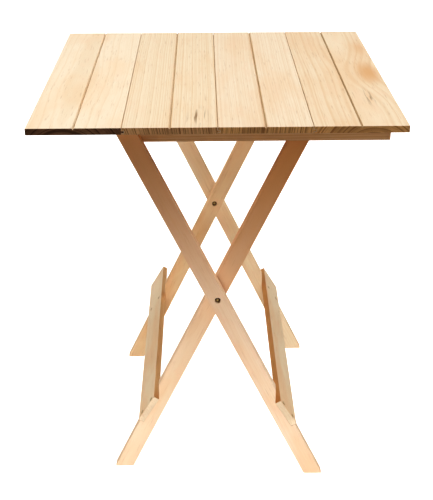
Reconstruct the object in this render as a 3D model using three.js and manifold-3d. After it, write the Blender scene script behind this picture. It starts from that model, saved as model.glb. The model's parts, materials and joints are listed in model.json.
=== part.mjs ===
// Folding table of four pine boards on two scissor leg frames.
// Millimetres, +Z up, +X to the right of the front view, +Y towards the back.
// The origin is on the floor, under the middle of the table's overall box.

import * as THREE from 'three';
import { mergeVertices } from 'three/addons/utils/BufferGeometryUtils.js';
import Module from 'manifold-3d';

// ---- driving dimensions ----------------------------------------------------

const TABLE_HEIGHT = 730;
const TOP_WIDTH = 600; // across the boards
const TOP_DEPTH = 600; // along the boards
const BOARD_COUNT = 4;
const BOARD_THICKNESS = 11;
const BOARD_JOINT = 0.8; // open joint between two boards
const TONGUE_LENGTH = 3.5; // how far a tongue reaches into the next board
const TONGUE_THICKNESS = 3.2;
const TONGUE_HEIGHT = 4.4; // middle of the tongue above the underside
const GROOVE_WIDTH = 3.6; // V groove down the middle of each board
const GROOVE_DEPTH = 2.6;

const FRAME_DEPTH = 473; // over the outer faces of the outer legs
const LEG_WIDTH = 31;
const LEG_THICKNESS = 18;
const CROSSING_HEIGHT = 386;
const HINGE_DROP = 17; // hinge axis below the boards
const HINGE_OFFSET = 150; // hinge axis left of the middle

const RAIL_THICKNESS = 10.5;
const RAIL_HEIGHT = 42;
const RAIL_END_MARGIN = 13; // rail end to the right-hand edge of the top
const RAIL_PAST_HINGE = 10; // rail end past the hinge axis

const CLEAT_WIDTH = 40;
const CLEAT_THICKNESS = 11;
const CLEAT_SPACING = 300; // between the two cleats' centre lines
const CLEAT_END_MARGIN = 20;

const STRETCHER_LENGTH = 540;
const STRETCHER_WIDTH = 60;
const STRETCHER_THICKNESS = 11;
const STRETCHER_TILT = THREE.MathUtils.degToRad(5.5);
const STRETCHER_PROUD = 0.6; // middle of its face above the leg's edge
const OUTER_STRETCHER_AT = 275; // from the crossing to its middle
const INNER_STRETCHER_AT = 284;
const NOTCH_RAMP = 28; // sloping run-in above each stretcher notch

const BAR_DIAMETER = 14;
const BAR_SETBACK = 22; // bar axis below the middle of the leg's round tip

const BOLT_DIAMETER = 6; // hinge bolts
const BOLT_HEAD_DIAMETER = 9.6;
const BOLT_HEAD_HEIGHT = 2.4;
const BOLT_END = 3; // thread past the nut
const BOLT_NUT_FLATS = 10;
const BOLT_NUT_HEIGHT = 5;
const WASHER_DIAMETER = 16;
const WASHER_THICKNESS = 1.4;

const STUD_DIAMETER = 5; // threaded rod through each crossing
const STUD_END = 0.6; // thread past each nut
const STUD_NUT_FLATS = 8;
const STUD_NUT_HEIGHT = 4;
const RECESS_DIAMETER = 10.6; // round recess that holds each of its nuts
const RECESS_DEPTH = 6;
const SPACER_DIAMETER = 22;

const SCREW_DIAMETER = 4;
const SCREW_HEAD_DIAMETER = 8;
const SCREW_HEAD_DEPTH = 2.2;
const SCREW_SINK = 0.4; // head below the wood
const SCREW_TIP = 3;
const SCREW_SPREAD = 34; // between the two screws at a stretcher's end
const SCREW_OFF_GROOVE = 25; // screw line to the middle of a board
const SCREW_BITE_BOARD = 7; // screw length inside a board
const SCREW_BITE_LEG = 13;

const FIT = 0.3; // gap between pieces that touch
const PLAY = 0.35; // side play between pieces that turn on each other

const ROUND_SIDES = 24;
const SCREW_SIDES = 10;
const ARC_STEPS = 12;

// ---- derived sizes ---------------------------------------------------------

const UNDERSIDE = TABLE_HEIGHT - BOARD_THICKNESS;
const HINGE_HEIGHT = UNDERSIDE - HINGE_DROP;
const HINGE_RISE = HINGE_HEIGHT - CROSSING_HEIGHT;
const LEG_ANGLE = Math.atan2(HINGE_OFFSET, HINGE_RISE); // from the vertical
const UPPER_LENGTH = Math.hypot(HINGE_OFFSET, HINGE_RISE); // crossing to leg tip
const HALF_LEG = LEG_WIDTH / 2;
const BOARD_PITCH = (TOP_WIDTH + BOARD_JOINT) / BOARD_COUNT;
const BOARD_WIDTH = BOARD_PITCH - BOARD_JOINT;

// distances from the middle plane of the leg frames, front and back alike
const OUTER_LEG_FACE = FRAME_DEPTH / 2;
const OUTER_LEG_INSIDE = OUTER_LEG_FACE - LEG_THICKNESS;
const RAIL_FACE = OUTER_LEG_INSIDE - PLAY;
const RAIL_INSIDE = RAIL_FACE - RAIL_THICKNESS;
const INNER_LEG_FACE = RAIL_INSIDE - PLAY;
const INNER_LEG_INSIDE = INNER_LEG_FACE - LEG_THICKNESS;

const RAIL_LEFT = -HINGE_OFFSET - RAIL_PAST_HINGE;
const RAIL_RIGHT = TOP_WIDTH / 2 - RAIL_END_MARGIN;

// ---- materials -------------------------------------------------------------

const COLOURS = {
  top: 0xf0d3a4,
  leg: 0xe2bb86,
  rail: 0xc79f70,
  stretcher: 0xd9b184,
  bar: 0xd8ae7a,
  zinc: 0x8d8b86,
  dark_steel: 0x4a443d,
};

function material(colour, roughness = 0.6, metalness = 0) {
  return new THREE.MeshStandardMaterial({ color: colour, roughness, metalness });
}

// ---- solids ----------------------------------------------------------------

const wasm = await Module();
wasm.setup();

function solidOf(geometry) {
  const bare = geometry.index ? geometry.toNonIndexed() : geometry.clone();
  bare.deleteAttribute('normal');
  bare.deleteAttribute('uv');
  const merged = mergeVertices(bare, 1e-4);
  return new wasm.Manifold(
    new wasm.Mesh({
      numProp: 3,
      vertProperties: new Float32Array(merged.attributes.position.array),
      triVerts: new Uint32Array(wholeTriangles(merged.index.array)),
    }),
  );
}

// Leaves out the empty triangles that a turned shape has on its axis.
function wholeTriangles(index) {
  const kept = [];
  for (let i = 0; i < index.length; i += 3) {
    const [a, b, c] = index.slice(i, i + 3);
    if (a !== b && b !== c && c !== a) {
      kept.push(a, b, c);
    }
  }
  return kept;
}

function geometryOf(solid) {
  const mesh = solid.getMesh();
  const geometry = new THREE.BufferGeometry();
  geometry.setAttribute('position', new THREE.BufferAttribute(mesh.vertProperties, 3));
  geometry.setIndex(new THREE.BufferAttribute(mesh.triVerts, 1));
  geometry.computeVertexNormals();
  return geometry;
}

function cut(geometry, tools) {
  let solid = solidOf(geometry);
  for (const tool of tools) {
    solid = solid.subtract(solidOf(tool));
  }
  return geometryOf(solid);
}

// A flat outline in X and Z, as thick as the given stretch of Y.
function slab(shape, yFrom, yTo) {
  const geometry = new THREE.ExtrudeGeometry(shape, {
    depth: yTo - yFrom,
    bevelEnabled: false,
    curveSegments: ARC_STEPS,
  });
  geometry.rotateX(Math.PI / 2);
  geometry.translate(0, yTo, 0);
  return geometry;
}

// A closed outline, always run anticlockwise so that its holes can run clockwise.
function outline(points) {
  const corners = points.map(([x, z]) => new THREE.Vector2(x, z));
  return new THREE.Shape(THREE.ShapeUtils.isClockWise(corners) ? corners.reverse() : corners);
}

function roundHole(shape, x, z, radius) {
  const hole = new THREE.Path();
  hole.absarc(x, z, radius, 0, 2 * Math.PI, true);
  shape.holes.push(hole);
}

function box(xFrom, xTo, yFrom, yTo, zFrom, zTo) {
  const geometry = new THREE.BoxGeometry(xTo - xFrom, yTo - yFrom, zTo - zFrom);
  geometry.translate((xFrom + xTo) / 2, (yFrom + yTo) / 2, (zFrom + zTo) / 2);
  return geometry;
}

// A round solid about the Z axis, from [radius, height] pairs, lowest first.
function turned(profile, sides = ROUND_SIDES) {
  const points = profile.map(([radius, height]) => new THREE.Vector2(radius, height));
  const geometry = new THREE.LatheGeometry(points, sides);
  geometry.rotateX(Math.PI / 2);
  return geometry;
}

// ---- fasteners, each with its head at z = 0 and its shank going down --------

function screw(length) {
  const shank = SCREW_DIAMETER / 2;
  return turned([
    [0, -length],
    [shank, -length + SCREW_TIP],
    [shank, -SCREW_SINK - SCREW_HEAD_DEPTH],
    [SCREW_HEAD_DIAMETER / 2, -SCREW_SINK],
    [0, -SCREW_SINK],
  ], SCREW_SIDES);
}

function screwHole(length) {
  const shank = SCREW_DIAMETER / 2 + FIT;
  const head = SCREW_HEAD_DIAMETER / 2 + FIT;
  const above = 5;
  return turned([
    [0, -length - FIT],
    [shank, -length - FIT],
    [shank, -SCREW_SINK - SCREW_HEAD_DEPTH - FIT],
    [head, -SCREW_SINK - FIT],
    [head, above],
    [0, above],
  ], SCREW_SIDES);
}

function bolt(length) {
  const shank = BOLT_DIAMETER / 2;
  const head = BOLT_HEAD_DIAMETER / 2;
  return turned([
    [0, -length],
    [shank, -length],
    [shank, 0],
    [head, 0],
    [head, BOLT_HEAD_HEIGHT * 0.45],
    [head * 0.72, BOLT_HEAD_HEIGHT * 0.85],
    [0, BOLT_HEAD_HEIGHT],
  ]);
}

function stud(length) {
  const radius = STUD_DIAMETER / 2;
  const chamfer = radius * 0.2;
  return turned([
    [0, -length / 2],
    [radius - chamfer, -length / 2],
    [radius, -length / 2 + chamfer],
    [radius, length / 2 - chamfer],
    [radius - chamfer, length / 2],
    [0, length / 2],
  ]);
}

function ring(boltDiameter, outerDiameter, thickness) {
  const inner = boltDiameter / 2 + FIT;
  const outer = outerDiameter / 2;
  return turned([
    [inner, 0],
    [outer, 0],
    [outer, thickness],
    [inner, thickness],
    [inner, 0],
  ]);
}

function nut(boltDiameter, flats, height) {
  const corner = flats / 2 / Math.cos(Math.PI / 6);
  const corners = Array.from({ length: 6 }, (_, i) => (i * Math.PI) / 3);
  const shape = outline(corners.map((a) => [corner * Math.cos(a), corner * Math.sin(a)]));
  roundHole(shape, 0, 0, boltDiameter / 2 + FIT);
  return new THREE.ExtrudeGeometry(shape, {
    depth: height,
    bevelEnabled: false,
    curveSegments: ARC_STEPS,
  });
}

// ---- scene graph helpers ---------------------------------------------------

const table = new THREE.Group();

function add(parent, name, geometry, finish) {
  const mesh = new THREE.Mesh(geometry, finish);
  mesh.name = name;
  parent.add(mesh);
  return mesh;
}

const SIDES = [['front', -1], ['back', 1]];

// Turns a piece made about +Z so that its head end faces out of the given side.
function faceOut(mesh, side, x, y, z) {
  mesh.rotation.x = -side * (Math.PI / 2);
  mesh.position.set(x, y, z);
}

// ---- table top: boards, cleats and rails -----------------------------------

function boardCentre(index) {
  return -TOP_WIDTH / 2 + BOARD_WIDTH / 2 + index * BOARD_PITCH;
}

function screwLine(index) {
  return boardCentre(index) + SCREW_OFF_GROOVE;
}

// The rails stop short of the first board.
function boardsOnRail() {
  const indices = [...Array(BOARD_COUNT).keys()];
  return indices.filter((i) => screwLine(i) - SCREW_OFF_GROOVE > RAIL_LEFT + SCREW_OFF_GROOVE);
}

const CLEAT_SCREW = CLEAT_THICKNESS + SCREW_BITE_BOARD;
const RAIL_SCREW = RAIL_HEIGHT + SCREW_BITE_BOARD;
const RAIL_MIDDLE = (RAIL_FACE + RAIL_INSIDE) / 2;

// Screw places under one board: [x, y, length, height of the head].
function boardScrews(index) {
  const x = screwLine(index);
  const places = [];
  for (const [, side] of SIDES) {
    places.push([x, side * CLEAT_SPACING / 2, CLEAT_SCREW, UNDERSIDE - CLEAT_THICKNESS]);
    if (boardsOnRail().includes(index)) {
      places.push([x, side * RAIL_MIDDLE, RAIL_SCREW, UNDERSIDE - RAIL_HEIGHT]);
    }
  }
  return places;
}

// Screws from below point upwards, so they are turned over.
function fromBelow(geometry, x, y, z) {
  geometry.rotateX(Math.PI);
  geometry.translate(x, y, z);
  return geometry;
}

// A tongue on the right edge of every board but the last.
function tongue(index, edge) {
  if (index === BOARD_COUNT - 1) return [];
  const middle = UNDERSIDE + TONGUE_HEIGHT;
  const tip = edge + BOARD_JOINT + TONGUE_LENGTH;
  return [
    [edge, middle - TONGUE_THICKNESS / 2],
    [tip, middle - TONGUE_THICKNESS / 2],
    [tip, middle + TONGUE_THICKNESS / 2],
    [edge, middle + TONGUE_THICKNESS / 2],
  ];
}

// A slot for the neighbour's tongue in the left edge of every board but the first.
function tongueSlot(index, edge) {
  if (index === 0) return [];
  const middle = UNDERSIDE + TONGUE_HEIGHT;
  const half = TONGUE_THICKNESS / 2 + FIT;
  const bottom = edge + TONGUE_LENGTH + FIT;
  return [
    [edge, middle + half],
    [bottom, middle + half],
    [bottom, middle - half],
    [edge, middle - half],
  ];
}

function board(index) {
  const half = BOARD_WIDTH / 2;
  const x = boardCentre(index);
  const shape = outline([
    [x - half, UNDERSIDE],
    [x + half, UNDERSIDE],
    ...tongue(index, x + half),
    [x + half, TABLE_HEIGHT],
    [x + GROOVE_WIDTH / 2, TABLE_HEIGHT],
    [x, TABLE_HEIGHT - GROOVE_DEPTH],
    [x - GROOVE_WIDTH / 2, TABLE_HEIGHT],
    [x - half, TABLE_HEIGHT],
    ...tongueSlot(index, x - half),
  ]);
  const holes = boardScrews(index).map(([sx, sy, length, z]) =>
    fromBelow(screwHole(length), sx, sy, z));
  return cut(slab(shape, -TOP_DEPTH / 2, TOP_DEPTH / 2), holes);
}

function buildTop() {
  for (let i = 0; i < BOARD_COUNT; i++) {
    add(table, `board_${i + 1}`, board(i), material(COLOURS.top, 0.55));
  }

  for (const [where, side] of SIDES) {
    const places = [...Array(BOARD_COUNT).keys()].flatMap(boardScrews)
      .filter(([, y]) => Math.sign(y) === side);
    const cleatPlaces = places.filter(([, , length]) => length === CLEAT_SCREW);
    const railPlaces = places.filter(([, , length]) => length === RAIL_SCREW);

    const reach = TOP_WIDTH / 2 - CLEAT_END_MARGIN;
    const y = side * CLEAT_SPACING / 2;
    const top = UNDERSIDE - FIT / 2;
    const cleat = box(-reach, reach, y - CLEAT_WIDTH / 2, y + CLEAT_WIDTH / 2,
      UNDERSIDE - CLEAT_THICKNESS, top);
    const cleatHoles = cleatPlaces.map(([sx, sy, length, z]) =>
      fromBelow(screwHole(length), sx, sy, z));
    add(table, `cleat_${where}`, cut(cleat, cleatHoles), material(COLOURS.rail));
    cleatPlaces.forEach(([sx, sy, length, z], i) => {
      const name = `cleat_screw_${where}_${i + 1}`;
      add(table, name, fromBelow(screw(length), sx, sy, z), material(COLOURS.zinc, 0.4, 0.9));
    });

    const shape = outline([
      [RAIL_LEFT, UNDERSIDE - RAIL_HEIGHT],
      [RAIL_RIGHT, UNDERSIDE - RAIL_HEIGHT],
      [RAIL_RIGHT, top],
      [RAIL_LEFT, top],
    ]);
    roundHole(shape, -HINGE_OFFSET, HINGE_HEIGHT, BOLT_DIAMETER / 2 + FIT);
    const faces = [side * RAIL_INSIDE, side * RAIL_FACE].sort((a, b) => a - b);
    const railHoles = railPlaces.map(([sx, sy, length, z]) =>
      fromBelow(screwHole(length), sx, sy, z));
    add(table, `rail_${where}`, cut(slab(shape, ...faces), railHoles), material(COLOURS.rail));
    railPlaces.forEach(([sx, sy, length, z], i) => {
      const name = `rail_screw_${where}_${i + 1}`;
      add(table, name, fromBelow(screw(length), sx, sy, z), material(COLOURS.zinc, 0.4, 0.9));
    });
  }
}

// ---- bolted joints ---------------------------------------------------------

// A bolt from the outer leg's face through the rail's end, with washer and nut.
function buildHinge(where, side) {
  const head = OUTER_LEG_FACE + FIT;
  const washerEnd = RAIL_INSIDE - FIT - WASHER_THICKNESS;
  const nutEnd = washerEnd - FIT - BOLT_NUT_HEIGHT;
  const place = (mesh, y) => faceOut(mesh, side, -HINGE_OFFSET, side * y, HINGE_HEIGHT);
  const pin = bolt(head - nutEnd + BOLT_END);
  place(add(table, `hinge_bolt_${where}`, pin, material(COLOURS.dark_steel, 0.4, 0.9)), head);
  const washer = ring(BOLT_DIAMETER, WASHER_DIAMETER, WASHER_THICKNESS);
  place(add(table, `hinge_washer_${where}`, washer, material(COLOURS.zinc, 0.35, 0.9)), washerEnd);
  const lockNut = nut(BOLT_DIAMETER, BOLT_NUT_FLATS, BOLT_NUT_HEIGHT);
  place(add(table, `hinge_nut_${where}`, lockNut, material(COLOURS.zinc, 0.35, 0.9)), nutEnd);
}

// A threaded rod through both legs and the spacer, a nut sunk in each end.
function buildCrossing(where, side) {
  const outerSeat = OUTER_LEG_FACE - RECESS_DEPTH + FIT;
  const innerSeat = INNER_LEG_INSIDE + RECESS_DEPTH - FIT;
  const rodTop = outerSeat + STUD_NUT_HEIGHT + STUD_END;
  const rodEnd = innerSeat - STUD_NUT_HEIGHT - STUD_END;
  const place = (mesh, y) => faceOut(mesh, side, 0, side * y, CROSSING_HEIGHT);
  const rod = add(table, `crossing_stud_${where}`, stud(rodTop - rodEnd), material(COLOURS.zinc, 0.35, 0.9));
  place(rod, (rodTop + rodEnd) / 2);
  for (const [end, y] of [['outer', outerSeat], ['inner', innerSeat - STUD_NUT_HEIGHT]]) {
    const sunk = nut(STUD_DIAMETER, STUD_NUT_FLATS, STUD_NUT_HEIGHT);
    place(add(table, `crossing_nut_${end}_${where}`, sunk, material(COLOURS.dark_steel, 0.4, 0.9)), y);
  }
  const spacer = ring(STUD_DIAMETER, SPACER_DIAMETER, RAIL_THICKNESS);
  place(add(table, `crossing_spacer_${where}`, spacer, material(COLOURS.bar)), RAIL_INSIDE);
}

function buildJoints() {
  for (const [where, side] of SIDES) {
    buildHinge(where, side);
    buildCrossing(where, side);
  }
}

// The round recess for a crossing nut, opening past the given face of a leg.
function nutRecess(face, outward) {
  const past = 4;
  const radius = RECESS_DIAMETER / 2;
  const tool = new THREE.CylinderGeometry(radius, radius, RECESS_DEPTH + past, ROUND_SIDES);
  tool.translate(0, face - outward * (RECESS_DEPTH - past) / 2, 0);
  return tool;
}

// ---- leg frames ------------------------------------------------------------
// Each frame is made upright about the crossing, u out of the edge that holds
// the stretcher and v up the leg, and its group is then leaned over.
// lean is +1 for the outer frame, which leans to the left, and -1 for the inner.

function footAt(u) {
  return -(CROSSING_HEIGHT + u * Math.sin(LEG_ANGLE)) / Math.cos(LEG_ANGLE);
}

// A point of the stretcher's section: along its width, then into its face.
function stretcherPoint(middle, along, into) {
  const cos = Math.cos(STRETCHER_TILT);
  const sin = Math.sin(STRETCHER_TILT);
  const u = HALF_LEG + STRETCHER_PROUD - into * cos - along * sin;
  const v = -middle + along * cos - into * sin;
  return [u, v];
}

function legShape(lean, middle) {
  const half = STRETCHER_WIDTH / 2 + FIT;
  const floor = STRETCHER_THICKNESS + FIT;
  const outside = -2 * STRETCHER_THICKNESS;
  const edge = (into) => stretcherPoint(middle, -half, into);
  const points = [
    [-HALF_LEG, footAt(-HALF_LEG)],
    [HALF_LEG, footAt(HALF_LEG)],
    atEdge(edge(outside), edge(floor)),
    edge(floor),
    stretcherPoint(middle, half, floor),
    [HALF_LEG, stretcherPoint(middle, half, floor)[1] + NOTCH_RAMP],
  ];
  for (let i = 0; i <= 2 * ARC_STEPS; i++) {
    const angle = (i / (2 * ARC_STEPS)) * Math.PI;
    points.push([HALF_LEG * Math.cos(angle), UPPER_LENGTH + HALF_LEG * Math.sin(angle)]);
  }
  const shape = outline(points.map(([u, v]) => [lean * u, v]));
  roundHole(shape, 0, 0, STUD_DIAMETER / 2 + FIT);
  return shape;
}

// Where the line from a to b crosses the leg's outer edge.
function atEdge(a, b) {
  const t = (HALF_LEG - a[0]) / (b[0] - a[0]);
  return [HALF_LEG, a[1] + t * (b[1] - a[1])];
}

// Screw places at a stretcher's two ends: [along its width, y].
function stretcherScrews(legMiddle) {
  return SIDES.flatMap(([where, side]) => [1, -1].map((end) => ({
    name: `${where}_${end > 0 ? 'upper' : 'lower'}`,
    along: end * SCREW_SPREAD / 2,
    y: side * legMiddle,
  })));
}

// Places a screw, made about +Z, square to the stretcher's face.
function ontoStretcher(geometry, lean, middle, along, y) {
  const [u, v] = stretcherPoint(middle, along, 0);
  geometry.rotateY(lean * (Math.PI / 2 - STRETCHER_TILT));
  geometry.translate(lean * u, y, v);
  return geometry;
}

function buildFrame(name, lean, face, middle, tipHole) {
  const recessFace = lean > 0 ? face : face - LEG_THICKNESS;
  const frame = new THREE.Group();
  frame.position.z = CROSSING_HEIGHT;
  frame.rotation.y = -lean * LEG_ANGLE;
  table.add(frame);

  const length = STRETCHER_THICKNESS + SCREW_BITE_LEG;
  const screws = stretcherScrews(face - LEG_THICKNESS / 2);
  const holes = screws.map(({ along, y }) =>
    ontoStretcher(screwHole(length), lean, middle, along, y));

  for (const [where, side] of SIDES) {
    const shape = legShape(lean, middle);
    roundHole(shape, 0, tipHole.at, tipHole.radius);
    const faces = [side * face, side * (face - LEG_THICKNESS)].sort((a, b) => a - b);
    const own = holes.filter((_, i) => Math.sign(screws[i].y) === side);
    own.push(nutRecess(side * recessFace, side * lean));
    add(frame, `${name}_leg_${where}`, cut(slab(shape, ...faces), own), material(COLOURS.leg));
  }

  const half = STRETCHER_WIDTH / 2;
  const section = outline([
    stretcherPoint(middle, -half, 0),
    stretcherPoint(middle, half, 0),
    stretcherPoint(middle, half, STRETCHER_THICKNESS),
    stretcherPoint(middle, -half, STRETCHER_THICKNESS),
  ].map(([u, v]) => [lean * u, v]));
  const plank = slab(section, -face, -face + STRETCHER_LENGTH);
  add(frame, `${name}_stretcher`, cut(plank, holes), material(COLOURS.stretcher));

  for (const { name: end, along, y } of screws) {
    add(frame, `${name}_stretcher_screw_${end}`,
      ontoStretcher(screw(length), lean, middle, along, y), material(COLOURS.zinc, 0.4, 0.9));
  }
  return frame;
}

function buildBar(frame) {
  const reach = INNER_LEG_FACE;
  const geometry = new THREE.CylinderGeometry(
    BAR_DIAMETER / 2, BAR_DIAMETER / 2, 2 * reach, ROUND_SIDES);
  geometry.translate(0, 0, UPPER_LENGTH - BAR_SETBACK);
  add(frame, 'latch_bar', geometry, material(COLOURS.bar));
}

// ---- assembly --------------------------------------------------------------

buildTop();
buildJoints();
const boltHole = { at: UPPER_LENGTH, radius: BOLT_DIAMETER / 2 + FIT };
const barHole = { at: UPPER_LENGTH - BAR_SETBACK, radius: BAR_DIAMETER / 2 + FIT };
buildFrame('outer', 1, OUTER_LEG_FACE, OUTER_STRETCHER_AT, boltHole);
const innerFrame = buildFrame('inner', -1, INNER_LEG_FACE, INNER_STRETCHER_AT, barHole);
buildBar(innerFrame);

// The stretchers reach past the boards at the back, so the middle moves.
const backmost = Math.max(TOP_DEPTH / 2, STRETCHER_LENGTH - INNER_LEG_FACE);
table.position.y = (TOP_DEPTH / 2 - backmost) / 2;

export default table;
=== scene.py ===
"""Folding pine table: four grooved boards on two scissor leg frames, in a pale studio."""

import json
from math import cos, pi, radians, sin

import bmesh
import bpy
import numpy as np
from mathutils import Matrix, Vector


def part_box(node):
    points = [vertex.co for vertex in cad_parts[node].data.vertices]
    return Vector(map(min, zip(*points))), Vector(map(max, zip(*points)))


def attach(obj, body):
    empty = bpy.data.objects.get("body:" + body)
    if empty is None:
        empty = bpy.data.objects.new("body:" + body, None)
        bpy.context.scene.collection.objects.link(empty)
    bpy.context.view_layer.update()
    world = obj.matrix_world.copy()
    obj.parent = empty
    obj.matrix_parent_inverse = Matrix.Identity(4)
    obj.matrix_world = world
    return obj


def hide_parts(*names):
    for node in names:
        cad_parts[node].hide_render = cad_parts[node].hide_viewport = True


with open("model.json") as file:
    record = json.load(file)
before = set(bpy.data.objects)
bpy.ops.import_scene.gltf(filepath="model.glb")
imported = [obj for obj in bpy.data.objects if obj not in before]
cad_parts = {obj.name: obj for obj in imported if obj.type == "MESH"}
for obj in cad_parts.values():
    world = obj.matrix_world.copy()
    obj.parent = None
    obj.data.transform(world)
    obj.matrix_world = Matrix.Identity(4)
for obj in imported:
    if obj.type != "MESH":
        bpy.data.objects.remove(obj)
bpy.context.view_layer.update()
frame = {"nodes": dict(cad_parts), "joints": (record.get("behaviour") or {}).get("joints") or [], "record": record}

scene = bpy.context.scene
nodes = frame["nodes"]
bodies = {node: body for body, members in frame["record"]["behaviour"]["bodies"].items()
          for node in members}
joints = {joint["name"]: joint for joint in frame["joints"]}

HINGE = Vector(joints["frame_hinge"]["pos_m"])
CROSSING = Vector(joints["crossing_hinge"]["pos_m"])
MIDDLE_Y = CROSSING.y

ALONG_BOARD = Vector((0, 1, 0))
ALONG_RAIL = Vector((1, 0, 0))
ALONG_OUTER_LEG = (HINGE - CROSSING).normalized()
ALONG_INNER_LEG = Vector((-ALONG_OUTER_LEG.x, 0, ALONG_OUTER_LEG.z))

# Edge rounding, in metres
BOARD_ROUNDING = 0.0007
RAIL_ROUNDING = 0.0015
LEG_ROUNDING = 0.0012
STRETCHER_ROUNDING = 0.0009
TURNED_ROUNDING = 0.0006
NUT_ROUNDING = 0.0004

# A wooden piece's material slots; slot 0 is its planed faces
END, EDGE, SPECIAL = 1, 2, 3

# Fasteners, in metres: the turned radii and the depth and pitch of the thread
SCREW_HEAD, SCREW_SHANK = 0.00395, 0.00195
SCREW_THREAD = (0.0005, 0.0014)
BOLT_HEAD, BOLT_CROWN, BOLT_SHANK = 0.0048, 0.0024, 0.003
BOLT_THREAD = (0.00045, 0.001)
STUD_RADIUS = 0.0025
STUD_THREAD = (0.0004, 0.0008)

FIBRE_DENSITY = 900.0
BUMP_DEPTH = 0.0004
FLOOR_HALF_WIDTH = 12


# ---- small shader helpers ---------------------------------------------------

class Nodes:
    """A node tree being written: add() places a node, sets its inputs and links what it is given."""

    def __init__(self, tree):
        self.tree = tree
        self.column = 0

    def add(self, kind, inputs=None, **settings):
        node = self.tree.nodes.new(kind)
        node.location = (self.column, 0)
        self.column += 180
        for key, value in settings.items():
            setattr(node, key, value)
        for key, value in (inputs or {}).items():
            self.feed(node.inputs[key], value)
        return node

    def feed(self, socket, value):
        if isinstance(value, bpy.types.NodeSocket):
            self.tree.links.new(value, socket)
        else:
            socket.default_value = value

    def math(self, operation, *values):
        return self.add("ShaderNodeMath", dict(enumerate(values)), operation=operation).outputs[0]

    def vector(self, operation, *values):
        node = self.add("ShaderNodeVectorMath", dict(enumerate(values)), operation=operation)
        return node.outputs["Value" if operation == "LENGTH" else "Vector"]

    def smooth(self, value, low, high, to_low=0.0, to_high=1.0):
        inputs = {"Value": value, "From Min": low, "From Max": high, "To Min": to_low, "To Max": to_high}
        node = self.add("ShaderNodeMapRange", inputs, interpolation_type="SMOOTHSTEP")
        return node.outputs[0]

    def mix(self, factor, first, second):
        """A colour mix; the colour sockets share their names, so they go by number."""
        node = self.add("ShaderNodeMix", data_type="RGBA")
        self.feed(node.inputs["Factor"], factor)
        self.feed(node.inputs[6], first)
        self.feed(node.inputs[7], second)
        return node.outputs[2]

    def noise(self, vector, scale, detail=2.0, roughness=0.5, out="Fac"):
        inputs = {"Vector": vector, "Scale": scale, "Detail": detail, "Roughness": roughness}
        return self.add("ShaderNodeTexNoise", inputs).outputs[out]

    def uneven(self, distance, scale, detail):
        """Noise along one distance only."""
        inputs = {"W": distance, "Scale": scale, "Detail": detail}
        return self.add("ShaderNodeTexNoise", inputs, noise_dimensions="1D").outputs["Fac"]


def node_group(name, inputs, outputs):
    """A new shader group with the named sockets; returns it and a writer for its tree."""
    group = bpy.data.node_groups.new(name, "ShaderNodeTree")
    for direction, sockets in (("INPUT", inputs), ("OUTPUT", outputs)):
        for socket, kind in sockets.items():
            group.interface.new_socket(socket, in_out=direction, socket_type="NodeSocket" + kind)
    writer = Nodes(group)
    return group, writer, writer.add("NodeGroupInput"), writer.add("NodeGroupOutput")


def growth_ring_group():
    """Uneven growth rings about a wandering pith along Y, pushed aside round one knot."""
    inputs = {"Vector": "Vector", "Spacing": "Float", "Wander": "Float",
              "Knot Centre": "Vector", "Knot Size": "Float", "Knot Lift": "Float"}
    group, n, given, out = node_group("growth_rings", inputs, {"Latewood": "Float", "Knot": "Float"})
    stretched = n.vector("MULTIPLY", given.outputs["Vector"], (5.0, 1.6, 5.0))
    drift = n.vector("SUBTRACT", n.noise(stretched, 1.0, detail=3.0, out="Color"), (0.5, 0.5, 0.5))
    drift = n.add("ShaderNodeVectorMath", {0: drift}, operation="SCALE")
    n.feed(drift.inputs["Scale"], given.outputs["Wander"])
    from_pith = n.vector("ADD", given.outputs["Vector"], drift.outputs[0])
    radius = n.vector("LENGTH", n.vector("MULTIPLY", from_pith, (1.0, 0.0, 1.0)))

    to_knot = n.vector("SUBTRACT", given.outputs["Vector"], given.outputs["Knot Centre"])
    to_knot = n.vector("LENGTH", n.vector("MULTIPLY", to_knot, (1.0, 0.3, 1.0)))
    share = n.math("DIVIDE", to_knot, given.outputs["Knot Size"])
    bulge = n.math("EXPONENT", n.math("MULTIPLY", n.math("MULTIPLY", share, share), -1.0))
    lifted = n.math("MULTIPLY_ADD", bulge, given.outputs["Knot Lift"], radius)

    seasons = n.uneven(lifted, 62.0, 2.0)
    years = n.math("MULTIPLY_ADD", seasons, 3.2, n.math("DIVIDE", lifted, given.outputs["Spacing"]))
    turn = n.math("FRACT", years)
    rise = n.smooth(turn, 0.25, 0.86)
    fall = n.smooth(turn, 0.93, 1.0, 1.0, 0.0)
    vigour = n.uneven(lifted, 140.0, 1.0)
    depth = n.smooth(vigour, 0.32, 0.62, 0.35, 1.0)
    n.feed(out.inputs["Latewood"], n.math("MULTIPLY", n.math("MULTIPLY", rise, fall), depth))
    n.feed(out.inputs["Knot"], bulge)
    return group


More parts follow.
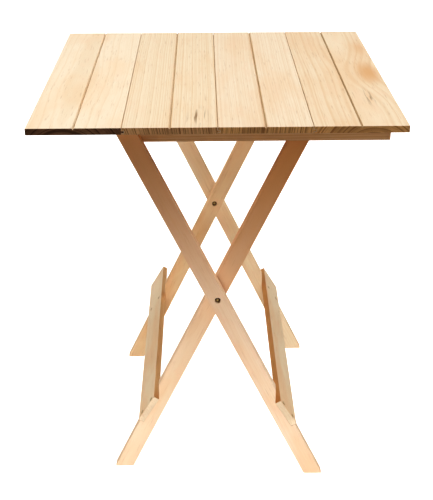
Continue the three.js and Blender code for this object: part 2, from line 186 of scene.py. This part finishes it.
def fibre_group():
    """Fine fibres and short resin streaks along Y, and two sizes of soft colour cloud."""
    group, n, given, out = node_group(
        "fibres", {"Vector": "Vector", "Density": "Float"},
        {"Fibre": "Float", "Streak": "Float", "Cloud": "Float", "Blush": "Float"})
    scaled = n.add("ShaderNodeVectorMath", {0: given.outputs["Vector"]}, operation="SCALE")
    n.feed(scaled.inputs["Scale"], given.outputs["Density"])
    fine = n.noise(n.vector("MULTIPLY", scaled.outputs[0], (1.0, 0.022, 1.0)), 1.0, 4.0, 0.6)
    n.feed(out.inputs["Fibre"], n.smooth(fine, 0.3, 0.7))
    dashes = n.noise(n.vector("MULTIPLY", scaled.outputs[0], (0.55, 0.03, 0.55)), 1.0, 2.0, 0.5)
    n.feed(out.inputs["Streak"], n.smooth(dashes, 0.6, 0.74))
    n.feed(out.inputs["Cloud"], n.noise(
        n.vector("MULTIPLY", given.outputs["Vector"], (14.0, 4.0, 14.0)), 1.0, 3.0, 0.55))
    n.feed(out.inputs["Blush"], n.noise(
        n.vector("MULTIPLY", given.outputs["Vector"], (46.0, 16.0, 46.0)), 1.0, 4.0, 0.6))
    return group


def pores_group():
    """Tiny dark pits scattered over cut ends."""
    group, n, given, out = node_group("pores", {"Vector": "Vector"}, {"Pore": "Float"})
    cells = n.add("ShaderNodeTexVoronoi", {"Vector": given.outputs["Vector"], "Scale": 700.0})
    n.feed(out.inputs["Pore"], n.smooth(cells.outputs["Distance"], 0.12, 0.4, 1.0, 0.0))
    return group


def patch_group():
    """A soft-edged tinted patch and the short dark resin marks inside it, long along Y."""
    inputs = {"Vector": "Vector", "Centre": "Vector", "Width": "Float", "Length": "Float"}
    group, n, given, out = node_group("patch", inputs, {"Patch": "Float", "Marks": "Float"})
    offset = n.vector("SUBTRACT", given.outputs["Vector"], given.outputs["Centre"])
    apart = n.add("ShaderNodeSeparateXYZ", {"Vector": offset}).outputs
    across = n.math("DIVIDE", apart["X"], given.outputs["Width"])
    along = n.math("DIVIDE", apart["Y"], given.outputs["Length"])
    square = n.math("ADD", n.math("MULTIPLY", across, across), n.math("MULTIPLY", along, along))
    soft = n.math("EXPONENT", n.math("MULTIPLY", square, -1.0))
    n.feed(out.inputs["Patch"], soft)
    dashes = n.noise(n.vector("MULTIPLY", given.outputs["Vector"], (260.0, 14.0, 40.0)), 1.0, 1.0)
    n.feed(out.inputs["Marks"], n.math("MULTIPLY", n.smooth(dashes, 0.52, 0.62), soft))
    return group


GROWTH_RINGS = growth_ring_group()
FIBRES = fibre_group()
PORES = pores_group()
PATCH = patch_group()


def srgb(red, green, blue):
    """A linear colour, with full alpha, from 0..255 screen values."""
    def linear(value):
        value /= 255
        return value / 12.92 if value <= 0.04045 else ((value + 0.055) / 1.055) ** 2.4
    return (linear(red), linear(green), linear(blue), 1.0)


def new_material(name):
    """A material with only a Principled shader; returns it, a writer for its tree and the shader."""
    material = bpy.data.materials.new(name)
    material.use_nodes = True
    material.node_tree.nodes.clear()
    n = Nodes(material.node_tree)
    shader = n.add("ShaderNodeBsdfPrincipled")
    output = n.add("ShaderNodeOutputMaterial")
    n.feed(output.inputs["Surface"], shader.outputs[0])
    return material, n, shader


# ---- wood -------------------------------------------------------------------

class Grain:
    """How one piece was sawn: its grain direction, its middle, where the pith lay and its knot."""

    def __init__(self, along, middle, pith, seed, spacing=0.0045, wander=0.012,
                 knot=None, knot_size=0.02, knot_lift=0.02):
        turn = along.rotation_difference(ALONG_BOARD).to_matrix()
        self.rotation = turn.to_euler("XYZ")
        self.location = Vector((pith[0], seed, pith[1])) - turn @ middle
        self.spacing = spacing
        self.wander = wander
        self.turn = turn
        self.knot = self.place(knot) if knot else Vector((9, 9, 9))
        self.knot_size = knot_size
        self.knot_lift = knot_lift

    def place(self, point):
        """A point of the table in the piece's own grain coordinates."""
        return self.turn @ point + self.location


def grain_nodes(n, grain):
    """The piece's own grain coordinates, with its ring and fibre groups fed from them."""
    place = n.add("ShaderNodeTexCoord").outputs["Object"]
    lined_up = n.add("ShaderNodeMapping", {
        "Vector": place, "Location": grain.location, "Rotation": grain.rotation}).outputs[0]
    rings = n.add("ShaderNodeGroup", node_tree=GROWTH_RINGS)
    for socket, value in (("Vector", lined_up), ("Spacing", grain.spacing), ("Wander", grain.wander),
                          ("Knot Centre", grain.knot), ("Knot Size", grain.knot_size),
                          ("Knot Lift", grain.knot_lift)):
        n.feed(rings.inputs[socket], value)
    fibres = n.add("ShaderNodeGroup", node_tree=FIBRES)
    n.feed(fibres.inputs["Vector"], lined_up)
    n.feed(fibres.inputs["Density"], FIBRE_DENSITY)
    return lined_up, rings, fibres


def tinted(colour, *factors):
    """The colour with its red, green and blue multiplied; its alpha stays."""
    return tuple(a * b for a, b in zip(colour, (*factors, 1.0)))


def face_wood(name, grain, early, late, contrast=0.5, warmth=0.5, patches=(), roughness=0.62,
              patch_tint=(0.98, 0.78, 0.58)):
    """Planed side grain: pale earlywood, honey latewood, fibres, warm clouds and resin marks."""
    material, n, shader = new_material(name)
    lined_up, rings, fibres = grain_nodes(n, grain)
    latewood, knot = rings.outputs["Latewood"], rings.outputs["Knot"]
    fibre, streak = fibres.outputs["Fibre"], fibres.outputs["Streak"]
    brown = tinted(late, 0.6, 0.45, 0.32)

    colour = n.mix(n.math("MULTIPLY", latewood, contrast), early, late)
    cloud = n.smooth(fibres.outputs["Cloud"], 0.42, 0.66, 0.0, 0.5 * warmth)
    colour = n.mix(cloud, colour, tinted(late, 1.06, 0.9, 0.74))
    blush = n.smooth(fibres.outputs["Blush"], 0.5, 0.68, 0.0, 0.42 * warmth)
    colour = n.mix(blush, colour, tinted(early, 0.98, 0.84, 0.78))
    colour = n.mix(n.math("MULTIPLY", fibre, 0.16), colour, late)
    colour = n.mix(n.math("MULTIPLY", streak, 0.26), colour, brown)
    colour = n.mix(n.smooth(knot, 0.55, 1.0, 0.0, 0.45), colour, tinted(late, 0.95, 0.78, 0.6))
    # Tinted patches: knot colour and resin marks on the boards, painted shade at the tops of the legs
    for centre, width, length, tint, marks in patches:
        patch = n.add("ShaderNodeGroup", node_tree=PATCH)
        for socket, value in (("Vector", lined_up), ("Centre", grain.place(centre)),
                              ("Width", width), ("Length", length)):
            n.feed(patch.inputs[socket], value)
        colour = n.mix(n.math("MULTIPLY", patch.outputs["Patch"], tint), colour,
                       tinted(late, *patch_tint))
        colour = n.mix(n.math("MULTIPLY", patch.outputs["Marks"], marks), colour,
                       tinted(brown, 0.6, 0.6, 0.6))
    n.feed(shader.inputs["Base Color"], colour)
    rough = n.math("MULTIPLY_ADD", latewood, -0.1, roughness)
    n.feed(shader.inputs["Roughness"], n.math("MULTIPLY_ADD", fibre, 0.06, rough))
    height = n.math("MULTIPLY_ADD", latewood, 0.35, n.math("MULTIPLY", fibre, 0.65))
    bump = n.add("ShaderNodeBump", {"Height": height, "Strength": 0.35, "Distance": BUMP_DEPTH})
    n.feed(shader.inputs["Normal"], bump.outputs[0])
    shader.inputs["Specular IOR Level"].default_value = 0.3
    return material


def end_wood(name, grain, early, late, contrast=0.85):
    """Sawn end grain: dark, open and matt, with the rings cut square across."""
    material, n, shader = new_material(name)
    lined_up, rings, fibres = grain_nodes(n, grain)
    pores = n.add("ShaderNodeGroup", node_tree=PORES)
    n.feed(pores.inputs["Vector"], lined_up)
    latewood = rings.outputs["Latewood"]
    colour = n.mix(n.math("MULTIPLY", latewood, contrast), early, late)
    dark = tinted(late, 0.55, 0.5, 0.45)
    colour = n.mix(n.math("MULTIPLY", pores.outputs["Pore"], 0.3), colour, dark)
    cloud = n.smooth(fibres.outputs["Cloud"], 0.4, 0.66, 0.0, 0.35)
    colour = n.mix(cloud, colour, dark)
    n.feed(shader.inputs["Base Color"], colour)
    n.feed(shader.inputs["Roughness"], n.math("MULTIPLY_ADD", latewood, -0.12, 0.85))
    height = n.math("SUBTRACT", latewood, pores.outputs["Pore"])
    bump = n.add("ShaderNodeBump", {"Height": height, "Strength": 0.5, "Distance": BUMP_DEPTH})
    n.feed(shader.inputs["Normal"], bump.outputs[0])
    shader.inputs["Specular IOR Level"].default_value = 0.2
    return material


# ---- metal ------------------------------------------------------------------

def metal(name, colour, dull, roughness=0.38, metallic=1.0):
    """Plated steel with dull patches and fine turning marks."""
    material, n, shader = new_material(name)
    place = n.add("ShaderNodeTexCoord").outputs["Object"]
    patches = n.smooth(n.noise(place, 420.0, 4.0, 0.6), 0.4, 0.65)
    n.feed(shader.inputs["Base Color"], n.mix(patches, colour, dull))
    n.feed(shader.inputs["Roughness"], n.math("MULTIPLY_ADD", patches, 0.2, roughness))
    marks = n.noise(place, 2600.0, 2.0, 0.5)
    bump = n.add("ShaderNodeBump", {"Height": marks, "Strength": 0.2, "Distance": 0.0001})
    n.feed(shader.inputs["Normal"], bump.outputs[0])
    shader.inputs["Metallic"].default_value = metallic
    return material


# ---- making pieces ----------------------------------------------------------

def finished(name, mesh, materials, *stands_for, smooth=False):
    """Links a piece, hides the CAD nodes it stands for and lets it ride with their body."""
    mesh.polygons.foreach_set("use_smooth", [smooth] * len(mesh.polygons))
    if smooth:
        mesh.set_sharp_from_angle(angle=radians(35))
    for material in materials:
        mesh.materials.append(material)
    piece = bpy.data.objects.new(name, mesh)
    scene.collection.objects.link(piece)
    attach(piece, bodies[stands_for[0]])
    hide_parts(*stands_for)
    return piece


def joined_mesh(node):
    """A CAD node's triangles as one clean body with whole flat faces."""
    bm = bmesh.new()
    bm.from_mesh(nodes[node].data)
    bmesh.ops.remove_doubles(bm, verts=bm.verts, dist=1e-5)
    bmesh.ops.dissolve_limit(bm, angle_limit=radians(1), verts=bm.verts, edges=bm.edges)
    return bm


def round_edges(bm, radius, segments=3, from_angle=25):
    """Rounds every edge sharper than the angle and returns the new faces."""
    edges = [e for e in bm.edges if e.is_manifold and e.calc_face_angle() > radians(from_angle)]
    return bmesh.ops.bevel(bm, geom=edges, offset=radius, segments=segments, profile=0.5,
                           affect="EDGES", material=-1, clamp_overlap=True)["faces"]


def to_mesh(bm, name):
    mesh = bpy.data.meshes.new(name)
    bm.to_mesh(mesh)
    bm.free()
    return mesh


def wooden(node, along, face_finish, end_finish, worn_finish, radius, special=None):
    """A wooden piece: planed faces, sawn ends and rubbed edges; special is (finish, which faces)."""
    bm = joined_mesh(node)
    for face in round_edges(bm, radius):
        face.material_index = EDGE
    for face in bm.faces:
        if abs(face.normal.dot(along)) > 0.8:
            face.material_index = END
        elif special and special[1](face):
            face.material_index = SPECIAL
    finishes = [face_finish, end_finish, worn_finish]
    if special:
        finishes.append(special[0])
    return finished(f"{node}_wood", to_mesh(bm, node), finishes, node)


def groove_of(node):
    """Picks the sloping sides of a board's middle groove."""
    line = middle_of(node).x

    def chosen(face):
        sloping = face.normal.z > 0.3 and 0.25 < abs(face.normal.x) < 0.9
        return sloping and abs(face.calc_center_median().x - line) < 0.0025
    return chosen


def narrow_edges_of(outward):
    """Picks a stretcher's two long narrow edges."""
    def chosen(face):
        return abs(face.normal.y) < 0.3 and abs(face.normal.dot(outward)) < 0.6
    return chosen


def worn_wood(name, grain, early, late):
    """Rounded edges rubbed smooth and a little darker by hands."""
    return face_wood(name, grain, tinted(early, 0.93, 0.86, 0.78), tinted(late, 0.88, 0.8, 0.7),
                     0.5, warmth=0.8, roughness=0.48)


def middle_of(node):
    low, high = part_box(node)
    return (low + high) / 2


# ---- boards -----------------------------------------------------------------

# end_early and end_late: end grain's own darker tone, deepened by painted shade, most on board_1 and least on
# board_4
BOARDS = {
    "board_1": dict(early=srgb(252, 236, 211), late=srgb(241, 215, 178), pith=(0.02, 0.05), seed=1.3,
                    spacing=0.0085, wander=0.03, contrast=0.4,
                    end_early=srgb(146, 110, 82), end_late=srgb(84, 56, 36)),
    "board_2": dict(early=srgb(249, 232, 205), late=srgb(232, 201, 158), pith=(0.16, 0.03), seed=4.1,
                    spacing=0.0044, wander=0.012, contrast=0.6,
                    end_early=srgb(236, 188, 136), end_late=srgb(156, 104, 62)),
    "board_3": dict(early=srgb(249, 232, 207), late=srgb(233, 204, 166), pith=(-0.19, 0.02), seed=7.7,
                    spacing=0.0048, wander=0.012, contrast=0.55,
                    end_early=srgb(240, 190, 130), end_late=srgb(162, 106, 60)),
    "board_4": dict(early=srgb(247, 228, 200), late=srgb(229, 195, 152), pith=(-0.02, 0.05), seed=2.9,
                    spacing=0.0062, wander=0.02, contrast=0.5,
                    end_early=srgb(248, 196, 134), end_late=srgb(186, 124, 70)),
}


def on_board(node, across, along):
    """A point on a board's face from its shares of the board's width and length."""
    low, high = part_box(node)
    return Vector((low.x + across * (high.x - low.x), low.y + along * (high.y - low.y), high.z))


KNOT_PLACE = on_board("board_4", 0.86, 0.49)

# For each patch: its middle, half width, half length, how strong its tint and how strong its marks
BOARD_PATCHES = {
    "board_2": [(on_board("board_2", 0.78, 0.09), 0.012, 0.03, 0.1, 0.9)],
    "board_4": [(KNOT_PLACE, 0.017, 0.045, 0.6, 0.0),
                (on_board("board_4", 0.9, 0.78), 0.012, 0.05, 0.4, 0.0),
                (on_board("board_4", 0.72, 0.25), 0.006, 0.035, 0.2, 0.7)],
}


def build_boards():
    for node, sawn in BOARDS.items():
        knot = KNOT_PLACE if node == "board_4" else None
        grain = Grain(ALONG_BOARD, middle_of(node), sawn["pith"], sawn["seed"], sawn["spacing"],
                      sawn["wander"], knot, knot_size=0.035, knot_lift=0.014)
        face = face_wood(f"{node}_face", grain, sawn["early"], sawn["late"], sawn["contrast"],
                         patches=BOARD_PATCHES.get(node, ()))
        end = end_wood(f"{node}_end", grain, sawn["end_early"], sawn["end_late"])
        # The groove's sloping sides are darker than the face: mostly painted shade in the groove, partly the fresh
        # cut's own darker tone
        cut = face_wood(f"{node}_groove", grain, srgb(210, 184, 148), srgb(190, 160, 122), 0.6)
        worn = worn_wood(f"{node}_edge", grain, sawn["early"], sawn["late"])
        wooden(node, ALONG_BOARD, face, end, worn, BOARD_ROUNDING, (cut, groove_of(node)))


# ---- rails, cleats, legs, stretchers, bar -----------------------------------

def build_underframe():
    early, late = srgb(234, 194, 148), srgb(206, 150, 100)
    for i, node in enumerate(("rail_front", "rail_back", "cleat_front", "cleat_back")):
        grain = Grain(ALONG_RAIL, middle_of(node), (0.02, 0.05), 11.0 + 3 * i, 0.0042)
        face = face_wood(f"{node}_face", grain, early, late, 0.6)
        end = end_wood(f"{node}_end", grain, srgb(190, 146, 98), srgb(128, 86, 50))
        worn = worn_wood(f"{node}_edge", grain, early, late)
        wooden(node, ALONG_RAIL, face, end, worn, RAIL_ROUNDING)


# For each leg: its direction, early and late wood, and how strong the painted shade at its top is and how far down
# it reaches
LEGS = {
    "outer_leg_front": (ALONG_OUTER_LEG, srgb(251, 228, 202), srgb(235, 202, 164), 0.9, 0.34),
    "inner_leg_front": (ALONG_INNER_LEG, srgb(250, 226, 196), srgb(234, 199, 156), 1.0, 0.38),
    "outer_leg_back": (ALONG_OUTER_LEG, srgb(253, 230, 196), srgb(238, 200, 154), 0.0, 0.34),
    "inner_leg_back": (ALONG_INNER_LEG, srgb(248, 216, 174), srgb(228, 182, 130), 0.35, 0.34),
}
# A leg's browner top is painted shade: the warm, saturated shade under the table top
PAINTED_SHADE_TINT = (1.0, 0.66, 0.4)  # the late wood's colour is multiplied by this in a leg's brown top


def build_legs():
    for i, (node, (along, early, late, top_shade, length)) in enumerate(LEGS.items()):
        low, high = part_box(node)
        grain = Grain(along, middle_of(node), (0.03, 0.05 + 0.01 * i), 21.0 + 5 * i, 0.0036, 0.02)
        top = Vector((low.x if along.x < 0 else high.x, low.y, high.z))
        # A soft browner patch at the leg's top: painted shade where the table top shades the leg
        darker = [(top, 0.3, length, top_shade, 0.0)]
        face = face_wood(f"{node}_face", grain, early, late, 0.3, warmth=1.0, patches=darker,
                         patch_tint=PAINTED_SHADE_TINT)
        end = end_wood(f"{node}_end", grain, srgb(216, 172, 122), srgb(160, 112, 68))
        worn = worn_wood(f"{node}_edge", grain, early, late)
        wooden(node, along, face, end, worn, LEG_ROUNDING)


def build_stretchers():
    early, late = srgb(251, 229, 196), srgb(235, 198, 153)
    # The narrow edges get darker, more orange colours than the broad faces: painted shade on edges that face in
    # under the table top
    narrow = {"outer_stretcher": (srgb(230, 178, 120), srgb(204, 144, 86)),
              "inner_stretcher": (srgb(240, 200, 150), srgb(216, 166, 112))}
    for i, (node, leg) in enumerate((("outer_stretcher", ALONG_OUTER_LEG),
                                     ("inner_stretcher", ALONG_INNER_LEG))):
        grain = Grain(ALONG_BOARD, middle_of(node), (0.04, 0.03), 41.0 + 7 * i, 0.0046)
        outward = leg.cross(ALONG_BOARD)
        face = face_wood(f"{node}_face", grain, early, late, 0.36, warmth=0.9)
        end = end_wood(f"{node}_end", grain, srgb(254, 232, 202), srgb(244, 212, 172), 0.5)
        worn = worn_wood(f"{node}_edge", grain, early, late)
        edge = face_wood(f"{node}_narrow", grain, *narrow[node], 0.5)
        wooden(node, ALONG_BOARD, face, end, worn, STRETCHER_ROUNDING,
               (edge, narrow_edges_of(outward)))


def build_turned_wood():
    early, late = srgb(244, 214, 172), srgb(212, 168, 118)
    for i, node in enumerate(("latch_bar", "crossing_spacer_front", "crossing_spacer_back")):
        grain = Grain(ALONG_BOARD, middle_of(node), (0.01, 0.01), 60.0 + 4 * i, 0.004)
        face = face_wood(f"{node}_face", grain, early, late, 0.6)
        end = end_wood(f"{node}_end", grain, srgb(210, 166, 116), srgb(150, 104, 62))
        worn = worn_wood(f"{node}_edge", grain, early, late)
        wooden(node, ALONG_BOARD, face, end, worn, TURNED_ROUNDING)


# ---- fasteners --------------------------------------------------------------

def axis_of(node):
    """Head point, tip point and unit direction (tip to head) of a long round CAD node."""
    points = np.array([v.co for v in nodes[node].data.vertices])
    middle = points.mean(0)
    direction = np.linalg.svd(points - middle, full_matrices=False)[2][0]
    along = (points - middle) @ direction
    away = np.linalg.norm(points - middle - np.outer(along, direction), axis=1)
    reach = along.max() - along.min()
    top = away[along > along.max() - 0.2 * reach].max()
    bottom = away[along < along.min() + 0.2 * reach].max()
    if bottom > top:
        direction, along = -direction, -along
    head = Vector(middle + direction * along.max())
    tip = Vector(middle + direction * along.min())
    return head, tip, Vector(direction)


def spun(profile, sides=32):
    """A closed round body about Z from [radius, height] pairs, first and last on the axis."""
    bm = bmesh.new()
    verts = [bm.verts.new((radius, 0, height)) for radius, height in profile]
    edges = [bm.edges.new(pair) for pair in zip(verts, verts[1:])]
    bmesh.ops.spin(bm, geom=verts + edges, cent=(0, 0, 0), axis=(0, 0, 1), angle=2 * pi,
                   steps=sides, use_merge=True, use_duplicate=False)
    bmesh.ops.remove_doubles(bm, verts=bm.verts, dist=1e-6)
    bmesh.ops.recalc_face_normals(bm, faces=bm.faces)
    return bm


def threaded(radius, depth, pitch, low, high):
    """Profile pairs of a ribbed shank, lowest first."""
    pairs = []
    for i in range(int((high - low) / pitch)):
        foot = low + i * pitch
        pairs += [(radius - depth, foot), (radius, foot + pitch / 2)]
    return pairs + [(radius - depth, high)]


def apply_boolean(mesh, cutter_mesh):
    """The mesh with the cutter taken out of it."""
    body = bpy.data.objects.new("body", mesh)
    cutter = bpy.data.objects.new("cutter", cutter_mesh)
    for item in (body, cutter):
        scene.collection.objects.link(item)
    modifier = body.modifiers.new("cut", "BOOLEAN")
    modifier.object = cutter
    modifier.solver = "EXACT"
    modifier.use_self = True
    bpy.context.view_layer.update()
    result = bpy.data.meshes.new_from_object(body.evaluated_get(bpy.context.evaluated_depsgraph_get()))
    for item in (body, cutter):
        bpy.data.objects.remove(item)
    return result


def cross_cutter(width, arm, depth):
    """A tapering cross, open upwards, that sinks the driver recess in a screw head."""
    bm = bmesh.new()
    for turn in (0, pi / 2):
        made = bmesh.ops.create_cube(bm, size=1.0)
        bmesh.ops.scale(bm, verts=made["verts"], vec=(2 * arm, width, 2 * depth))
        low = [v for v in made["verts"] if v.co.z < 0]
        bmesh.ops.scale(bm, verts=low, vec=(0.35, 0.8, 1))
        bmesh.ops.rotate(bm, verts=made["verts"], cent=(0, 0, 0), matrix=Matrix.Rotation(turn, 3, "Z"))
    return to_mesh(bm, "cross")


def screw_mesh(length):
    """A countersunk wood screw, head at z = 0 and point down."""
    low, head, shank = -length, SCREW_HEAD, SCREW_SHANK
    profile = [(0, low), (shank * 0.4, low + 0.0016)]
    profile += threaded(shank, *SCREW_THREAD, low + 0.003, -length * 0.4)
    profile += [(shank * 0.8, -length * 0.38), (shank * 0.8, -0.0026), (head, -0.0003),
                (head * 0.97, 0), (0, 0)]
    mesh = to_mesh(spun(profile, 24), "screw")
    return apply_boolean(mesh, cross_cutter(0.0010, head * 0.62, 0.0016))


def placed(mesh, head, direction, name):
    """A copy of a mesh made about Z, its head at the given point."""
    copy = mesh.copy()
    copy.name = name
    turn = Vector((0, 0, 1)).rotation_difference(direction).to_matrix().to_4x4()
    copy.transform(Matrix.Translation(head) @ turn)
    return copy


def build_screws(steel):
    made = {}
    for node in sorted(n for n in nodes if "screw" in n):
        head, tip, direction = axis_of(node)
        length = round((head - tip).length, 4)
        if length not in made:
            made[length] = screw_mesh(length)
        mesh = placed(made[length], head, direction, node)
        finished(f"{node}_steel", mesh, [steel], node, smooth=True)


def build_hinge_bolts(dark):
    for node in sorted(n for n in nodes if n.startswith("hinge_bolt")):
        head, tip, direction = axis_of(node)
        length = (head - tip).length
        lip = 0.0004
        profile = [(0, -length), (BOLT_SHANK * 0.8, -length)]
        profile += threaded(BOLT_SHANK, *BOLT_THREAD, -length + 0.0006, -length * 0.45)
        profile += [(BOLT_SHANK, -length * 0.42), (BOLT_SHANK, -BOLT_CROWN), (BOLT_HEAD, -BOLT_CROWN)]
        profile += [(BOLT_HEAD * cos(a), -BOLT_CROWN + lip + (BOLT_CROWN - lip) * sin(a))
                    for a in (i * pi / 16 for i in range(1, 8))]
        profile += [(0, 0)]
        mesh = placed(to_mesh(spun(profile), "bolt"), head, direction, node)
        finished(f"{node}_steel", mesh, [dark], node, smooth=True)


def build_studs(steel):
    for node in sorted(n for n in nodes if n.startswith("crossing_stud")):
        head, tip, direction = axis_of(node)
        length = (head - tip).length
        profile = [(0, -length), (STUD_RADIUS * 0.8, -length)]
        profile += threaded(STUD_RADIUS, *STUD_THREAD, -length + 0.0004, -0.0004)
        profile += [(STUD_RADIUS * 0.8, 0), (0, 0)]
        mesh = placed(to_mesh(spun(profile), "stud"), head, direction, node)
        finished(f"{node}_steel", mesh, [steel], node, smooth=True)


def build_nuts(dark, zinc):
    """Nuts and washers: dark brown at the crossings, a painted shade of their recesses; plated at the hinges."""
    for node in sorted(n for n in nodes if "nut" in n or "washer" in n):
        bm = joined_mesh(node)
        round_edges(bm, NUT_ROUNDING, segments=2, from_angle=40)
        finish = dark if node.startswith("crossing") else zinc
        finished(f"{node}_steel", to_mesh(bm, node), [finish], node)


# ---- studio -----------------------------------------------------------------

def build_floor():
    """A floor that looks pure white from above, throws less light back, and is clear from below."""
    bm = bmesh.new()
    bmesh.ops.create_grid(bm, x_segments=1, y_segments=1, size=FLOOR_HALF_WIDTH)
    mesh = to_mesh(bm, "floor")
    material, n, shader = new_material("studio_floor")
    place = n.add("ShaderNodeTexCoord").outputs["Object"]
    n.feed(shader.inputs["Roughness"], n.smooth(n.noise(place, 30.0), 0.3, 0.7, 0.8, 0.9))
    seen = n.add("ShaderNodeLightPath").outputs["Is Camera Ray"]
    n.feed(shader.inputs["Emission Color"], n.mix(seen, (0, 0, 0, 1), (1, 1, 1, 1)))
    underneath = n.add("ShaderNodeNewGeometry").outputs["Backfacing"]
    n.feed(shader.inputs["Alpha"], n.math("SUBTRACT", 1.0, underneath))
    shader.inputs["Emission Strength"].default_value = 0.8
    shader.inputs["Base Color"].default_value = (0.6, 0.6, 0.6, 1)
    shader.inputs["Specular IOR Level"].default_value = 0.1
    mesh.materials.append(material)
    floor = bpy.data.objects.new("floor", mesh)
    scene.collection.objects.link(floor)


def area_light(name, place, aim, size, power, spread=pi):
    """A rectangular lamp; its power is in watts."""
    data = bpy.data.lights.new(name, "AREA")
    data.shape = "RECTANGLE"
    data.size, data.size_y = size
    data.energy = power
    data.spread = spread
    lamp = bpy.data.objects.new(name, data)
    lamp.location = place
    lamp.rotation_euler = (Vector(aim) - Vector(place)).to_track_quat("-Z", "Y").to_euler()
    scene.collection.objects.link(lamp)


def build_lights():
    area_light("overhead", (0.0, -0.2, 3.2), (0, 0, 0), (2.4, 2.4), 39)
    area_light("feet", (0.0, -2.5, 0.35), (0, 0, 0.0), (2.0, 0.3), 2.25, spread=radians(34))
    area_light("behind", (0.0, 2.8, 0.8), (0, 0, 0.3), (2.0, 0.8), 7)
    for side in (-1, 1):
        area_light(f"side_{side}", (side * 2.5, -0.2, 1.5), (0, 0, 0.25), (1.6, 0.8), 24)


def build_surroundings():
    """White all round where it is looked at, but only a faint fill on the table."""
    world = bpy.data.worlds.new("studio")
    world.use_nodes = True
    world.node_tree.nodes.clear()
    n = Nodes(world.node_tree)
    fill = n.add("ShaderNodeBackground", {"Color": (1, 1, 1, 1), "Strength": 0.07})
    white = n.add("ShaderNodeBackground", {"Color": (1, 1, 1, 1), "Strength": 1.0})
    seen = n.add("ShaderNodeLightPath").outputs["Is Camera Ray"]
    mixed = n.add("ShaderNodeMixShader", {0: seen, 1: fill.outputs[0], 2: white.outputs[0]})
    n.add("ShaderNodeOutputWorld", {"Surface": mixed.outputs[0]})
    scene.world = world


def build_camera():
    """A camera in front of the table, a little left, looking down at it."""
    yaw, pitch, roll = -0.0137, 0.4602, -0.0035
    lens, left, distance, height = 70.67, -0.0226, 1.7508, 1.2365
    right = Vector((cos(yaw), sin(yaw), 0))
    forward = Vector((-sin(yaw) * cos(pitch), cos(yaw) * cos(pitch), -sin(pitch)))
    up = right.cross(forward)
    tilted_right = right * cos(roll) + up * sin(roll)
    tilted_up = up * cos(roll) - right * sin(roll)
    data = bpy.data.cameras.new("camera")
    data.sensor_width = 36
    data.lens = lens
    camera = bpy.data.objects.new("camera", data)
    place = Matrix((tilted_right, tilted_up, -forward)).transposed().to_4x4()
    place.translation = Vector((left, MIDDLE_Y - distance, height))
    camera.matrix_world = place
    scene.collection.objects.link(camera)
    scene.camera = camera


# ---- the scene --------------------------------------------------------------

build_camera()
build_boards()
build_underframe()
build_legs()
build_stretchers()
build_turned_wood()

YELLOW_ZINC = metal("yellow_zinc", srgb(214, 184, 128), srgb(176, 146, 96), 0.4)
BRIGHT_ZINC = metal("bright_zinc", srgb(226, 222, 212), srgb(188, 182, 170), 0.5, 0.8)
# Dark brown steel for the crossing nuts and hinge bolts: the brown is painted shade, the colour of the shaded
# recesses round the crossing nuts
PAINTED_SHADE_STEEL = metal("painted_shade_steel", srgb(118, 74, 42), srgb(66, 38, 20), 0.6, 0.6)
build_screws(YELLOW_ZINC)
build_hinge_bolts(PAINTED_SHADE_STEEL)
build_studs(YELLOW_ZINC)
build_nuts(PAINTED_SHADE_STEEL, BRIGHT_ZINC)

build_floor()
build_lights()
build_surroundings()
scene.view_settings.view_transform = "Standard"
scene.view_settings.look = "High Contrast"
